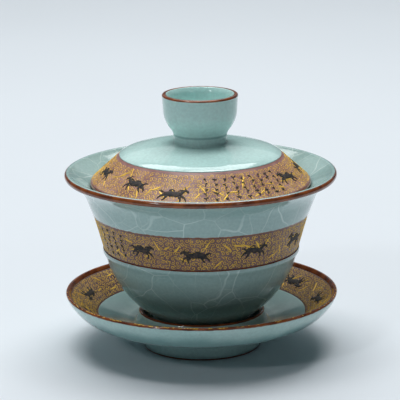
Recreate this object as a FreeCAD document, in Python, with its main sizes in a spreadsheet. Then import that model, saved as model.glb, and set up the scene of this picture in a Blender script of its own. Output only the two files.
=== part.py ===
import FreeCAD, Part
import math
import os
import Sketcher

# Gaiwan: a saucer, a flared bowl standing in it and a lid with a hollow cup-shaped knob.
# Frame: +Z is up along the common axis, and the origin is on the table plane under the axis.
# All lengths are in millimetres. Radii are from the axis and heights are from the table plane.

DIMENSIONS = {
    # saucer: underside and foot ring
    "saucer_foot_bottom_inner_radius": 19.6,
    "saucer_foot_bottom_outer_radius": 22.6,
    "saucer_foot_inner_radius": 19.2,
    "saucer_foot_outer_radius": 23.0,
    "saucer_foot_edge_height": 0.7,
    "saucer_recess_radius": 17.9,
    "saucer_recess_height": 5.6,
    "saucer_foot_top_radius": 23.4,
    "saucer_foot_top_height": 6.0,
    "saucer_turn_radius": 43.0,
    "saucer_turn_height": 11.6,
    "saucer_turn_bend": 18.4,
    # saucer: rim, band and floor
    "saucer_rim_under_radius": 52.35,
    "saucer_rim_under_height": 20.2,
    "saucer_lip_outer_radius": 52.85,
    "saucer_lip_outer_height": 21.65,
    "saucer_lip_inner_radius": 51.55,
    "saucer_lip_inner_height": 22.1,
    "saucer_lip_bend": 0.72,
    "saucer_band_outer_radius": 50.9,
    "saucer_band_outer_height": 21.2,
    "saucer_band_inner_radius": 40.66,
    "saucer_band_inner_height": 14.07,
    "saucer_floor_height": 9.6,
    # saucer: raised ring that the bowl stands in
    "seat_outer_radius": 26.0,
    "seat_inner_radius": 21.4,
    "seat_crest_outer_radius": 24.75,
    "seat_crest_inner_radius": 22.5,
    "seat_crest_height": 13.9,
    "seat_flank_bend": 9.0,
    "seat_crest_bend": 1.3,
    # bowl: foot ring and outside
    "bowl_foot_bottom_inner_radius": 16.5,
    "bowl_foot_bottom_outer_radius": 18.8,
    "bowl_foot_inner_radius": 16.2,
    "bowl_foot_outer_radius": 19.1,
    "bowl_foot_edge_height": 0.7,
    "bowl_recess_radius": 15.2,
    "bowl_recess_height": 12.6,
    "bowl_foot_top_radius": 19.5,
    "bowl_foot_top_height": 12.7,
    "bowl_belly_radius": 37.6,
    "bowl_belly_height": 38.0,
    "bowl_belly_bend": 44.5,
    "bowl_band_lower_radius": 38.0,
    "bowl_band_lower_height": 40.0,
    "bowl_band_upper_radius": 41.85,
    "bowl_band_upper_height": 53.6,
    "bowl_flare_start_radius": 44.0,
    "bowl_flare_start_height": 59.3,
    "bowl_flare_bend": 14.3,
    "bowl_rim_under_radius": 50.73,
    "bowl_rim_under_height": 67.39,
    # bowl: lip and inside
    "bowl_lip_bend": 1.3,
    "bowl_rim_inside_radius": 50.15,
    "bowl_rim_inside_height": 69.36,
    "bowl_shoulder_radius": 43.6,
    "bowl_shoulder_height": 65.4,
    "bowl_throat_radius": 41.5,
    "bowl_throat_height": 62.85,
    "bowl_shoulder_bend": 3.8,
    "bowl_inner_belly_radius": 34.7,
    "bowl_inner_belly_height": 38.0,
    "bowl_inner_belly_bend": 29.2,
    "bowl_floor_radius": 14.0,
    "bowl_floor_height": 17.4,
    "bowl_floor_centre_height": 15.8,
    # lid: bearing edge, band and dome
    "lid_edge_top_radius": 42.35,
    "lid_edge_top_height": 66.4,
    "lid_edge_bottom_radius": 41.55,
    "lid_edge_bottom_height": 64.45,
    "lid_edge_bend": 1.13,
    "lid_edge_inner_radius": 40.3,
    "lid_inside_edge_radius": 39.18,
    "lid_inside_edge_height": 65.5,
    "lid_band_top_radius": 31.43,
    "lid_band_top_height": 76.3,
    "dome_shoulder_radius": 28.2,
    "dome_shoulder_height": 77.9,
    "dome_shoulder_bend": 9.9,
    "dome_bend": 80.0,
    "dome_inside_shoulder_radius": 29.56,
    "dome_inside_shoulder_height": 74.22,
    "dome_inside_bend": 100.0,
    "dome_inside_top_radius": 10.6,
    "dome_inside_top_height": 78.0,
    # knob: luted foot, waist, cup and lip
    "knob_foot_radius": 10.6,
    "knob_foot_height": 80.85,
    "knob_bead_bottom_radius": 10.0,
    "knob_bead_bottom_height": 81.25,
    "knob_bead_top_radius": 10.2,
    "knob_bead_top_height": 83.2,
    "knob_bead_bend": 2.0,
    "knob_waist_top_radius": 11.6,
    "knob_waist_top_height": 86.6,
    "knob_waist_bend": 5.4,
    "knob_cup_radius": 14.2,
    "knob_cup_height": 93.0,
    "knob_cup_bend": 11.8,
    "knob_wall_top_radius": 14.5,
    "knob_wall_top_height": 98.4,
    "knob_hollow_top_radius": 12.1,
    "knob_hollow_radius": 11.0,
    "knob_hollow_bend": 9.0,
    "knob_hollow_floor_radius": 7.5,
    "knob_hollow_floor_height": 87.0,
    "knob_hollow_centre_height": 86.6,
    "knob_lip_outer_radius": 14.6,
    "knob_lip_inner_radius": 12.6,
    "knob_lip_height": 99.4,
    "knob_lip_bend": 1.25,
    # inlaid bands: how deep each is set in, and how far it stays under the glaze beside it
    "band_depth": 0.8,
    "band_recess": 0.25,
    "lid_band_depth": 0.5,
}

SHEET_NAME = "Dimensions"


class Length:
    """A length in millimetres together with the sheet formula that gives it."""

    def __init__(self, value, formula):
        self.value = value
        self.formula = formula

    def __add__(self, other):
        return Length(self.value + other.value, f"({self.formula} + {other.formula})")

    def __sub__(self, other):
        return Length(self.value - other.value, f"({self.formula} - {other.formula})")


def size(alias):
    """The driving dimension kept in the sheet cell with this alias."""
    return Length(DIMENSIONS[alias], f"{SHEET_NAME}.{alias}")


def make_sheet(document):
    """Write every driving dimension into the sheet as a plain number with an alias."""
    sheet = document.addObject("Spreadsheet::Sheet", SHEET_NAME)
    for row, (alias, value) in enumerate(DIMENSIONS.items(), start=1):
        sheet.set(f"A{row}", alias)
        sheet.set(f"B{row}", str(value))
        sheet.setAlias(f"B{row}", alias)
    document.recompute()


def corner(name, radius, height, bend=None, turn="left", past_half=False):
    """One corner of an outline and the edge that arrives at it.

    radius None is on the axis and height None is on the table plane. bend is the radius of
    the arriving arc, turn is the side its centre lies on along the way, and past_half marks
    an arc of more than half a circle.
    """
    return {"name": name, "radius": radius, "height": height,
            "bend": bend, "turn": turn, "past_half": past_half}


def corner_point(spot):
    """The corner's place in the sketch plane: across is the radius, up is the height."""
    across = 0.0 if spot["radius"] is None else spot["radius"].value
    up = 0.0 if spot["height"] is None else spot["height"].value
    return FreeCAD.Vector(across, up, 0)


def arc_between(start, end, spot):
    """The arriving arc of a corner, drawn counter-clockwise as sketches need it."""
    bend = spot["bend"].value
    chord = end - start
    reach = math.sqrt(bend ** 2 - (chord.Length / 2) ** 2)
    leftward = FreeCAD.Vector(-chord.y, chord.x, 0).normalize()
    side = 1 if spot["turn"] == "left" else -1
    if spot["past_half"]:
        reach = -reach
    centre = (start + end) * 0.5 + leftward * (side * reach)
    first, last = (start, end) if side == 1 else (end, start)
    angle_first = math.atan2(first.y - centre.y, first.x - centre.x)
    angle_last = math.atan2(last.y - centre.y, last.x - centre.x)
    if angle_last < angle_first:
        angle_last += 2 * math.pi
    circle = Part.Circle(centre, FreeCAD.Vector(0, 0, 1), bend)
    return Part.ArcOfCircle(circle, angle_first, angle_last)


def bind(sketch, name, kind, place, length):
    """Add one sized constraint and tie it to the sheet."""
    number = sketch.addConstraint(Sketcher.Constraint(kind, *place, length.value))
    sketch.renameConstraint(number, name)
    sketch.setExpression(f"Constraints.{name}", length.formula)


def draw_outline(sketch, corners):
    """Draw the closed outline and fix every corner and bend from the sheet."""
    origin = (-1, 1)
    table_line = -1
    axis_line = -2
    starts, ends = [], []
    for index, spot in enumerate(corners):
        start, end = corner_point(corners[index - 1]), corner_point(spot)
        if spot["bend"] is None:
            edge = sketch.addGeometry(Part.LineSegment(start, end))
            start_end = (1, 2)
        else:
            edge = sketch.addGeometry(arc_between(start, end, spot))
            start_end = (1, 2) if spot["turn"] == "left" else (2, 1)
        starts.append((edge, start_end[0]))
        ends.append((edge, start_end[1]))
    for index, spot in enumerate(corners):
        following = starts[(index + 1) % len(corners)]
        sketch.addConstraint(Sketcher.Constraint("Coincident", *ends[index], *following))
        if spot["radius"] is None:
            sketch.addConstraint(Sketcher.Constraint("PointOnObject", *ends[index], axis_line))
        else:
            bind(sketch, f"{spot['name']}_radius", "DistanceX", (*origin, *ends[index]), spot["radius"])
        if spot["height"] is None:
            sketch.addConstraint(Sketcher.Constraint("PointOnObject", *ends[index], table_line))
        else:
            bind(sketch, f"{spot['name']}_height", "DistanceY", (*origin, *ends[index]), spot["height"])
        if spot["bend"] is not None:
            bind(sketch, f"{spot['name']}_bend", "Radius", (ends[index][0],), spot["bend"])


def turned_piece(document, node, corners):
    """A piece thrown on the wheel: its outline turned once around the axis."""
    body = document.addObject("PartDesign::Body", node)
    body.Label = node
    plane = next(item for item in body.Origin.OriginFeatures if item.Role == "XZ_Plane")
    sketch = body.newObject("Sketcher::SketchObject", f"{node}_outline")
    sketch.AttachmentSupport = [(plane, "")]
    sketch.MapMode = "FlatFace"
    draw_outline(sketch, corners)
    turning = body.newObject("PartDesign::Revolution", f"{node}_turning")
    turning.Profile = sketch
    turning.ReferenceAxis = (sketch, ["V_Axis"])
    turning.Angle = 360
    sketch.Visibility = False
    body.Placement = FreeCAD.Placement()
    return body


# ---- saucer -------------------------------------------------------------------------------

def saucer_band_bed():
    """Outer and inner corners of the bed that the saucer's band lies in."""
    outer = (size("saucer_band_outer_radius"), size("saucer_band_outer_height") - size("band_depth"))
    inner = (size("saucer_band_inner_radius"), size("saucer_band_inner_height") - size("band_depth"))
    return outer, inner


def saucer_dish():
    """The dish with its turned foot ring, without the lip, the band and the foot's bare edge."""
    bed_outer, bed_inner = saucer_band_bed()
    return [
        corner("recess_centre", None, size("saucer_recess_height")),
        corner("recess_edge", size("saucer_recess_radius"), size("saucer_recess_height")),
        corner("foot_inner", size("saucer_foot_inner_radius"), size("saucer_foot_edge_height")),
        corner("foot_outer", size("saucer_foot_outer_radius"), size("saucer_foot_edge_height")),
        corner("foot_top", size("saucer_foot_top_radius"), size("saucer_foot_top_height")),
        corner("turn", size("saucer_turn_radius"), size("saucer_turn_height")),
        corner("rim_under", size("saucer_rim_under_radius"), size("saucer_rim_under_height"),
               bend=size("saucer_turn_bend")),
        corner("bed_outer", *bed_outer),
        corner("bed_inner", *bed_inner),
        corner("well_edge", size("saucer_band_inner_radius"), size("saucer_band_inner_height")),
        corner("floor_edge", size("seat_outer_radius"), size("saucer_floor_height")),
        corner("floor_centre", None, size("saucer_floor_height")),
    ]


def saucer_lip():
    """The rounded rim of the dish, from under the edge over to the band."""
    bed_outer, _ = saucer_band_bed()
    return [
        corner("rim_under", size("saucer_rim_under_radius"), size("saucer_rim_under_height")),
        corner("lip_outer", size("saucer_lip_outer_radius"), size("saucer_lip_outer_height")),
        corner("lip_inner", size("saucer_lip_inner_radius"), size("saucer_lip_inner_height"),
               bend=size("saucer_lip_bend")),
        corner("band_outer", size("saucer_band_outer_radius"), size("saucer_band_outer_height")),
        corner("bed_outer", *bed_outer),
    ]


def saucer_band():
    """The patterned band, a thin cone laid in the dish between the lip and the well."""
    bed_outer, bed_inner = saucer_band_bed()
    return [
        corner("bed_inner", *bed_inner),
        corner("bed_outer", *bed_outer),
        corner("band_outer", size("saucer_band_outer_radius"),
               size("saucer_band_outer_height") - size("band_recess")),
        corner("band_inner", size("saucer_band_inner_radius"),
               size("saucer_band_inner_height") - size("band_recess")),
    ]


def saucer_seat_ring():
    """The raised ring with a rounded crest that keeps the bowl's foot in the middle."""
    return [
        corner("ring_inner", size("seat_inner_radius"), size("saucer_floor_height")),
        corner("ring_outer", size("seat_outer_radius"), size("saucer_floor_height")),
        corner("crest_outer", size("seat_crest_outer_radius"), size("seat_crest_height"),
               bend=size("seat_flank_bend"), turn="right"),
        corner("crest_inner", size("seat_crest_inner_radius"), size("seat_crest_height"),
               bend=size("seat_crest_bend")),
    ]


def saucer_foot_edge():
    """The bare ring at the bottom of the saucer's foot, which stands on the table."""
    return [
        corner("bottom_inner", size("saucer_foot_bottom_inner_radius"), None),
        corner("bottom_outer", size("saucer_foot_bottom_outer_radius"), None),
        corner("top_outer", size("saucer_foot_outer_radius"), size("saucer_foot_edge_height")),
        corner("top_inner", size("saucer_foot_inner_radius"), size("saucer_foot_edge_height")),
    ]


# ---- bowl ---------------------------------------------------------------------------------

def bowl_wall():
    """The bowl with its turned foot ring, without the lip, the band and the foot's bare edge."""
    foot_edge = size("saucer_floor_height") + size("bowl_foot_edge_height")
    bed_lower = size("bowl_band_lower_radius") - size("band_depth")
    bed_upper = size("bowl_band_upper_radius") - size("band_depth")
    return [
        corner("recess_centre", None, size("bowl_recess_height")),
        corner("recess_edge", size("bowl_recess_radius"), size("bowl_recess_height")),
        corner("foot_inner", size("bowl_foot_inner_radius"), foot_edge),
        corner("foot_outer", size("bowl_foot_outer_radius"), foot_edge),
        corner("foot_top", size("bowl_foot_top_radius"), size("bowl_foot_top_height")),
        corner("belly", size("bowl_belly_radius"), size("bowl_belly_height"),
               bend=size("bowl_belly_bend")),
        corner("band_lower", size("bowl_band_lower_radius"), size("bowl_band_lower_height")),
        corner("bed_lower", bed_lower, size("bowl_band_lower_height")),
        corner("bed_upper", bed_upper, size("bowl_band_upper_height")),
        corner("band_upper", size("bowl_band_upper_radius"), size("bowl_band_upper_height")),
        corner("flare_start", size("bowl_flare_start_radius"), size("bowl_flare_start_height")),
        corner("rim_under", size("bowl_rim_under_radius"), size("bowl_rim_under_height"),
               bend=size("bowl_flare_bend"), turn="right"),
        corner("rim_inside", size("bowl_rim_inside_radius"), size("bowl_rim_inside_height")),
        corner("shoulder", size("bowl_shoulder_radius"), size("bowl_shoulder_height")),
        corner("throat", size("bowl_throat_radius"), size("bowl_throat_height"),
               bend=size("bowl_shoulder_bend")),
        corner("inner_belly", size("bowl_inner_belly_radius"), size("bowl_inner_belly_height")),
        corner("floor", size("bowl_floor_radius"), size("bowl_floor_height"),
               bend=size("bowl_inner_belly_bend"), turn="right"),
        corner("floor_centre", None, size("bowl_floor_centre_height")),
    ]


def bowl_lip():
    """The rounded end of the flared rim."""
    return [
        corner("rim_inside", size("bowl_rim_inside_radius"), size("bowl_rim_inside_height"),
               bend=size("bowl_lip_bend"), past_half=True),
        corner("rim_under", size("bowl_rim_under_radius"), size("bowl_rim_under_height")),
    ]


def bowl_band():
    """The patterned band, a thin cone set in around the outside of the bowl."""
    lower, upper = size("bowl_band_lower_height"), size("bowl_band_upper_height")
    lower_radius, upper_radius = size("bowl_band_lower_radius"), size("bowl_band_upper_radius")
    return [
        corner("bed_lower", lower_radius - size("band_depth"), lower),
        corner("face_lower", lower_radius - size("band_recess"), lower),
        corner("face_upper", upper_radius - size("band_recess"), upper),
        corner("bed_upper", upper_radius - size("band_depth"), upper),
    ]


def bowl_foot_edge():
    """The bare ring at the bottom of the bowl's foot, which stands on the saucer's floor."""
    bottom = size("saucer_floor_height")
    top = size("saucer_floor_height") + size("bowl_foot_edge_height")
    return [
        corner("bottom_inner", size("bowl_foot_bottom_inner_radius"), bottom),
        corner("bottom_outer", size("bowl_foot_bottom_outer_radius"), bottom),
        corner("top_outer", size("bowl_foot_outer_radius"), top),
        corner("top_inner", size("bowl_foot_inner_radius"), top),
    ]


# ---- lid ----------------------------------------------------------------------------------

def lid_band_bed():
    """Lower and upper corners of the bed that the lid's band lies in."""
    depth = size("lid_band_depth")
    lower = (size("lid_edge_top_radius") - depth, size("lid_edge_top_height") - depth)
    upper = (size("lid_band_top_radius") - depth, size("lid_band_top_height") - depth)
    return lower, upper


def lid_dome():
    """The low dome and the sloping skirt under the band, with a flat spot under the knob."""
    bed_lower, bed_upper = lid_band_bed()
    return [
        corner("inside_centre", None, size("dome_inside_top_height")),
        corner("inside_top", size("dome_inside_top_radius"), size("dome_inside_top_height")),
        corner("inside_shoulder", size("dome_inside_shoulder_radius"),
               size("dome_inside_shoulder_height"), bend=size("dome_inside_bend"), turn="right"),
        corner("inside_edge", size("lid_inside_edge_radius"), size("lid_inside_edge_height")),
        corner("bed_lower", *bed_lower),
        corner("bed_upper", *bed_upper),
        corner("band_top", size("lid_band_top_radius"), size("lid_band_top_height")),
        corner("dome_shoulder", size("dome_shoulder_radius"), size("dome_shoulder_height"),
               bend=size("dome_shoulder_bend")),
        corner("knob_spot", size("knob_foot_radius"), size("knob_foot_height"),
               bend=size("dome_bend")),
        corner("knob_centre", None, size("knob_foot_height")),
    ]


def lid_lip():
    """The bare rounded edge that the lid bears on inside the bowl's flare."""
    bed_lower, _ = lid_band_bed()
    return [
        corner("inside_edge", size("lid_inside_edge_radius"), size("lid_inside_edge_height")),
        corner("edge_inner", size("lid_edge_inner_radius"), size("lid_edge_bottom_height")),
        corner("edge_bottom", size("lid_edge_bottom_radius"), size("lid_edge_bottom_height")),
        corner("edge_top", size("lid_edge_top_radius"), size("lid_edge_top_height"),
               bend=size("lid_edge_bend")),
        corner("bed_lower", *bed_lower),
    ]


def lid_band():
    """The patterned band, a thin cone laid on the lid's skirt."""
    bed_lower, bed_upper = lid_band_bed()
    return [
        corner("bed_lower", *bed_lower),
        corner("edge_top", size("lid_edge_top_radius"), size("lid_edge_top_height")),
        corner("band_top", size("lid_band_top_radius"), size("lid_band_top_height")),
        corner("bed_upper", *bed_upper),
    ]


def lid_knob():
    """The knob: a bead luted on the dome, a waist and a hollow cup, without the lip."""
    return [
        corner("foot_centre", None, size("knob_foot_height")),
        corner("foot_edge", size("knob_foot_radius"), size("knob_foot_height")),
        corner("bead_bottom", size("knob_bead_bottom_radius"), size("knob_bead_bottom_height")),
        corner("bead_top", size("knob_bead_top_radius"), size("knob_bead_top_height"),
               bend=size("knob_bead_bend")),
        corner("waist_top", size("knob_waist_top_radius"), size("knob_waist_top_height"),
               bend=size("knob_waist_bend"), turn="right"),
        corner("cup", size("knob_cup_radius"), size("knob_cup_height"), bend=size("knob_cup_bend")),
        corner("wall_top", size("knob_wall_top_radius"), size("knob_wall_top_height")),
        corner("hollow_top", size("knob_hollow_top_radius"), size("knob_wall_top_height")),
        corner("hollow_side", size("knob_hollow_radius"), size("knob_cup_height")),
        corner("hollow_floor", size("knob_hollow_floor_radius"), size("knob_hollow_floor_height"),
               bend=size("knob_hollow_bend"), turn="right"),
        corner("hollow_centre", None, size("knob_hollow_centre_height")),
    ]


def knob_lip():
    """The rounded rim of the knob's cup."""
    return [
        corner("hollow_top", size("knob_hollow_top_radius"), size("knob_wall_top_height")),
        corner("wall_top", size("knob_wall_top_radius"), size("knob_wall_top_height")),
        corner("lip_outer", size("knob_lip_outer_radius"), size("knob_lip_height")),
        corner("lip_inner", size("knob_lip_inner_radius"), size("knob_lip_height"),
               bend=size("knob_lip_bend")),
    ]


OUTLINES = [
    saucer_dish, saucer_lip, saucer_band, saucer_seat_ring, saucer_foot_edge,
    bowl_wall, bowl_lip, bowl_band, bowl_foot_edge,
    lid_dome, lid_lip, lid_band, lid_knob, knob_lip,
]


def check(document, pieces):
    """Stop if any object failed or any piece isn't one valid solid."""
    for item in document.Objects:
        if "Invalid" in item.State or "Error" in item.State:
            raise RuntimeError(f"{item.Name} failed: {item.State}")
    for piece in pieces:
        shape = piece.Shape
        if shape.isNull() or not shape.isValid() or len(shape.Solids) != 1:
            raise RuntimeError(f"{piece.Label} is not one valid solid")


def main():
    document = FreeCAD.newDocument("gaiwan")
    make_sheet(document)
    pieces = [turned_piece(document, outline.__name__, outline()) for outline in OUTLINES]
    document.recompute()
    check(document, pieces)
    os.makedirs("parts", exist_ok=True)
    for piece in pieces:
        piece.Shape.exportStep(f"parts/{piece.Label}.step")
        print(f"{piece.Label}: {piece.Shape.Volume:.0f} cubic mm")


main()
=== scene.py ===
import math
import bpy
import numpy as np
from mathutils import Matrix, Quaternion, Vector
from mathutils.bvhtree import BVHTree

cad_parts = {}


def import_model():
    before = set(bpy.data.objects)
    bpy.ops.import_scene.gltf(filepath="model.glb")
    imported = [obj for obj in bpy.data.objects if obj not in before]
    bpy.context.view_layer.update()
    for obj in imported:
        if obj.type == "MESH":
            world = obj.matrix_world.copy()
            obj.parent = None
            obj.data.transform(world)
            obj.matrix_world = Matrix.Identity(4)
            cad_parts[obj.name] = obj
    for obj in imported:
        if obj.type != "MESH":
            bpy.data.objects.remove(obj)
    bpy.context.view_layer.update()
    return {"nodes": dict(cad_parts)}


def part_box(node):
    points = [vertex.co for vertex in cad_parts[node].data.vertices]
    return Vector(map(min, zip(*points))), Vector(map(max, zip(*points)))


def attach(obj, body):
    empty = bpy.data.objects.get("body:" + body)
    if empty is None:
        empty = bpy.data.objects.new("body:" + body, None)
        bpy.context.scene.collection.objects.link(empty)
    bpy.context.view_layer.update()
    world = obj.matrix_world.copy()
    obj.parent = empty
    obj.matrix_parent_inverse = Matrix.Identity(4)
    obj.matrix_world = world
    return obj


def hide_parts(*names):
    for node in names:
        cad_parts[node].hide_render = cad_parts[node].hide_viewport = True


# Gaiwan: saucer, bowl and lid around the frame. Metres, +Z up the common axis.

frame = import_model()
mm = 0.001
hair = 0.02 * mm      # a step off an edge, so that a cut meets the surface beside it
wholeTurn = 2 * math.pi
print("frame loaded")

turning = {
    "steps": 320,            # round the axis
    "sway": 0.0009,          # how far out of round the thrown pieces are, as a share of the radius
    "dip": 0.05 * mm,        # how much a flared rim rises and falls
    "dipFrom": 30 * mm,      # radius where that starts
}
trees = {}      # a search tree of each CAD node's triangles, made when it is first asked for


def pointsOf(node):
    vertices = frame["nodes"][node].data.vertices
    co = np.empty(len(vertices) * 3)
    vertices.foreach_get("co", co)
    return co.reshape(-1, 3)


def treeOf(node):
    if node not in trees:
        faces = [tuple(face.vertices) for face in frame["nodes"][node].data.polygons]
        trees[node] = BVHTree.FromPolygons(pointsOf(node).tolist(), faces)
    return trees[node]


# where a CAD node's section is cut: by height, a level line is followed inwards from
# outside (max) or outwards from the axis (min) and gives the radius; by radius, a plumb
# line is followed down from above (max) or up from below (min) and gives the height
def crossing(node, level, by="height", pick=max):
    far = 1.0
    if by == "height":
        start, way = ((far, 0, level), (-1, 0, 0)) if pick is max else ((0, 0, level), (1, 0, 0))
    else:
        start, way = ((level, 0, far), (0, 0, -1)) if pick is max else ((level, 0, -far), (0, 0, 1))
    spot = treeOf(node).ray_cast(Vector(start), Vector(way))[0]
    return spot.x if by == "height" else spot.z


# the outside (or inside) radius of a CAD node at several heights, as outline points
def radiiAt(node, heights, pick=max):
    return [(crossing(node, height, pick=pick), height) for height in heights]


# the top (or underside) of a CAD node at several radii, as outline points
def heightsAt(node, radii, pick=max):
    return [(radius, crossing(node, radius, "radius", pick)) for radius in radii]


# a natural cubic through a few points, by distance along them
def smoothLine(points, count):
    spots = np.array(points, float)
    along = np.r_[0, np.cumsum(np.linalg.norm(np.diff(spots, axis=0), axis=1))]
    gap = np.diff(along)
    size = len(spots)
    system = np.eye(size)
    right = np.zeros((size, 2))
    inner = np.arange(1, size - 1)
    system[inner, inner - 1] = gap[:-1]
    system[inner, inner] = 2 * (gap[:-1] + gap[1:])
    system[inner, inner + 1] = gap[1:]
    slope = np.diff(spots, axis=0) / gap[:, None]
    right[1:-1] = 6 * np.diff(slope, axis=0)
    bend = np.linalg.solve(system, right)
    want = np.linspace(0, along[-1], count)
    piece = np.clip(np.searchsorted(along, want, side="right") - 1, 0, size - 2)
    step = gap[piece][:, None]
    ahead = ((along[piece + 1] - want) / gap[piece])[:, None]
    behind = 1 - ahead
    curve = (ahead ** 3 - ahead) * bend[piece] + (behind ** 3 - behind) * bend[piece + 1]
    return ahead * spots[piece] + behind * spots[piece + 1] + curve * step ** 2 / 6


# the arc that bridges a corner: both sides are cut back by the same length, and the circle
# touches them there
def cornerArc(before, corner, after, radius, steps):
    inward, onward = before - corner, after - corner
    inLength, outLength = np.linalg.norm(inward), np.linalg.norm(onward)
    inward, onward = inward / inLength, onward / outLength
    half = math.acos(np.clip(inward @ onward, -1, 1)) / 2
    cut = min(radius / math.tan(half), 0.49 * inLength, 0.49 * outLength)
    bend = cut * math.tan(half)
    middle = inward + onward
    centre = corner + middle / np.linalg.norm(middle) * math.hypot(cut, bend)
    first = (corner + inward * cut - centre) / bend
    last = (corner + onward * cut - centre) / bend
    sweep = math.acos(np.clip(first @ last, -1, 1))
    share = np.linspace(0, 1, steps)[:, None]
    arc = np.sin((1 - share) * sweep) * first + np.sin(share * sweep) * last
    return centre + bend * arc / math.sin(sweep)


# a line through corners (radius, height, round), straight but for an arc at each rounded one
def roundedLine(corners, arcSteps=7, straightStep=1.2 * mm):
    spots = [np.array(corner[:2], float) for corner in corners]
    line = [spots[0][None, :]]
    for index in range(1, len(corners)):
        previous = line[-1][-1]
        target = spots[index]
        arc = None
        if index < len(corners) - 1 and corners[index][2] > 0:
            arc = cornerArc(*spots[index - 1:index + 2], corners[index][2], arcSteps)
            target = arc[0]
        steps = max(1, int(round(np.linalg.norm(target - previous) / straightStep)))
        line.append(previous + (target - previous) * (np.arange(1, steps + 1) / steps)[:, None])
        if arc is not None:
            line.append(arc[1:])
    return np.concatenate(line)


# a closed outline from corners (radius, height, round), begun in the middle of its first side
def closedLine(corners, arcSteps=7, straightStep=1.2 * mm):
    last, first = corners[-1], corners[0]
    middle = (0.5 * (last[0] + first[0]), 0.5 * (last[1] + first[1]), 0)
    return roundedLine([middle, *corners, middle], arcSteps, straightStep)[:-1]


# a band's face as a cone: v runs from start to end along the slope, and angle, v and the
# outward normal are right-handed
def coneOf(start, end):
    slope = end - start
    length = float(np.linalg.norm(slope))
    return {"start": start, "along": slope / length, "length": length}


# points on a cone: angle round the axis, v along the slope, lift out along the normal
def onCone(cone, angle, v, lift):
    along = cone["along"]
    radius = cone["start"][0] + v * along[0] + lift * along[1]
    height = cone["start"][1] + v * along[1] - lift * along[0]
    return handmade(angle, radius, height)


# joins lines end to end and drops points that fall on the one before
def joinLines(*lines):
    line = np.concatenate([np.atleast_2d(np.array(part, float)) for part in lines])
    keep = np.r_[True, np.linalg.norm(np.diff(line, axis=0), axis=1) > 0.004 * mm]
    return line[keep]


# a smooth step from 0 to 1 between two levels
def ease(value, low, high):
    share = np.clip((value - low) / (high - low), 0, 1)
    return share * share * (3 - 2 * share)


# a slow wave round the axis, between -1 and 1: cosines of whole turns with seeded starts
def ripple(angle, seed, turns=(2, 3, 5, 7, 11)):
    start = np.random.default_rng(seed).uniform(0, wholeTurn, len(turns))
    waves = [np.cos(turn * angle + phase) / (1 + 0.4 * order)
             for order, (turn, phase) in enumerate(zip(turns, start))]
    return sum(waves) / sum(1 / (1 + 0.4 * order) for order in range(len(turns)))


# places points given by angle, radius and height, each a little out of round in the way
# that a thrown pot is: the radius sways twice and three times a turn, and wide rims dip
def handmade(angle, radius, height):
    sway = (np.cos(2 * angle + 0.7) + 0.5 * np.cos(3 * angle + 2.1)) / 1.5
    radius = radius * (1 - turning["sway"] + turning["sway"] * sway)
    wide = ease(radius, turning["dipFrom"], 1.7 * turning["dipFrom"])
    height = height - turning["dip"] * wide * (1 + np.cos(2 * angle + 1.9))
    return np.stack([radius * np.cos(angle), radius * np.sin(angle), height], -1)


# makes the mesh object, with smooth shading and any per-vertex values
def meshObject(name, points, faces, material, values=None):
    mesh = bpy.data.meshes.new(name)
    mesh.from_pydata(points.reshape(-1, 3).tolist(), [], faces)
    for key, value in (values or {}).items():
        layer = mesh.attributes.new(key, "FLOAT", "POINT")
        layer.data.foreach_set("value", np.ascontiguousarray(value, np.float32).ravel())
    mesh.polygons.foreach_set("use_smooth", np.ones(len(mesh.polygons), bool))
    mesh.materials.append(material)
    piece = bpy.data.objects.new(name, mesh)
    bpy.context.scene.collection.objects.link(piece)
    return piece


# how near each outline point is to marked spots (radius, height, reach, fade): 1 within
# reach, falling smoothly to 0 over fade; the reach wavers round the axis
def nearness(outline, angle, spots, seed, waver=0.0):
    near = np.zeros((len(angle), len(outline)))
    for order, (radius, height, reach, fade) in enumerate(spots):
        away = np.hypot(outline[:, 0] - radius, outline[:, 1] - height)[None, :]
        edge = (reach * (1 + waver * ripple(angle, seed + order, (3, 7, 13, 23, 37))))[:, None]
        near = np.maximum(near, 1 - ease(away, edge, edge + fade))
    return near


# turns an outline once round the axis: point (i, j) is outline point j at angle i. An
# outline that starts and ends on the axis closes in two poles, any other is a closed loop
def turned(name, outline, material, iron=(), poolAndShadeMask=(), seed=1):
    low, high = outline[0], outline[-1]
    poles = low[0] < 0.01 * mm and high[0] < 0.01 * mm
    radius, height = outline.T
    area = np.sum(radius * np.roll(height, -1) - np.roll(radius, -1) * height)
    if area < 0:
        outline = outline[::-1]
    ring = outline[1:-1] if poles else outline
    steps, count = turning["steps"], len(ring)
    angle = np.arange(steps) * wholeTurn / steps
    points = handmade(angle[:, None], ring[None, :, 0], ring[None, :, 1]).reshape(-1, 3)
    # the pool values mark where the glaze is darkened: thicker glaze in creases and painted shade
    values = {"iron": nearness(ring, angle, iron, seed, 0.18).ravel(),
              "poolAndShadeMask": nearness(ring, angle, poolAndShadeMask, seed + 50, 0.3).ravel()}
    here = np.arange(steps)[:, None] * count
    there = np.roll(np.arange(steps), -1)[:, None] * count
    up = np.arange(count - 1 if poles else count)[None, :]
    above = (up + 1) % count
    quads = np.stack([here + up, there + up, there + above, here + above], -1).reshape(-1, 4)
    faces = quads.tolist()
    if poles:
        ends = np.array([[0, 0, outline[0, 1]], [0, 0, outline[-1, 1]]])
        first, last = len(points), len(points) + 1
        points = np.concatenate([points, ends])
        values = {key: np.r_[value, 0, 0] for key, value in values.items()}
        a, b = here.ravel(), there.ravel()
        faces += np.stack([np.full(steps, first), b, a], -1).tolist()
        faces += np.stack([np.full(steps, last), a + count - 1, b + count - 1], -1).tolist()
    return meshObject(name, points, faces, material, values)


def newMaterial(name, settings):
    material = bpy.data.materials.new(name)
    material.use_nodes = True
    shader = material.node_tree.nodes["Principled BSDF"]
    for key, value in settings.items():
        shader.inputs[key].default_value = value
    return material, material.node_tree, shader


# links the sockets that carry a finish to its shader
def dress(tree, shader, sockets):
    for key, socket in sockets.items():
        tree.links.new(socket, shader.inputs[key])


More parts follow.
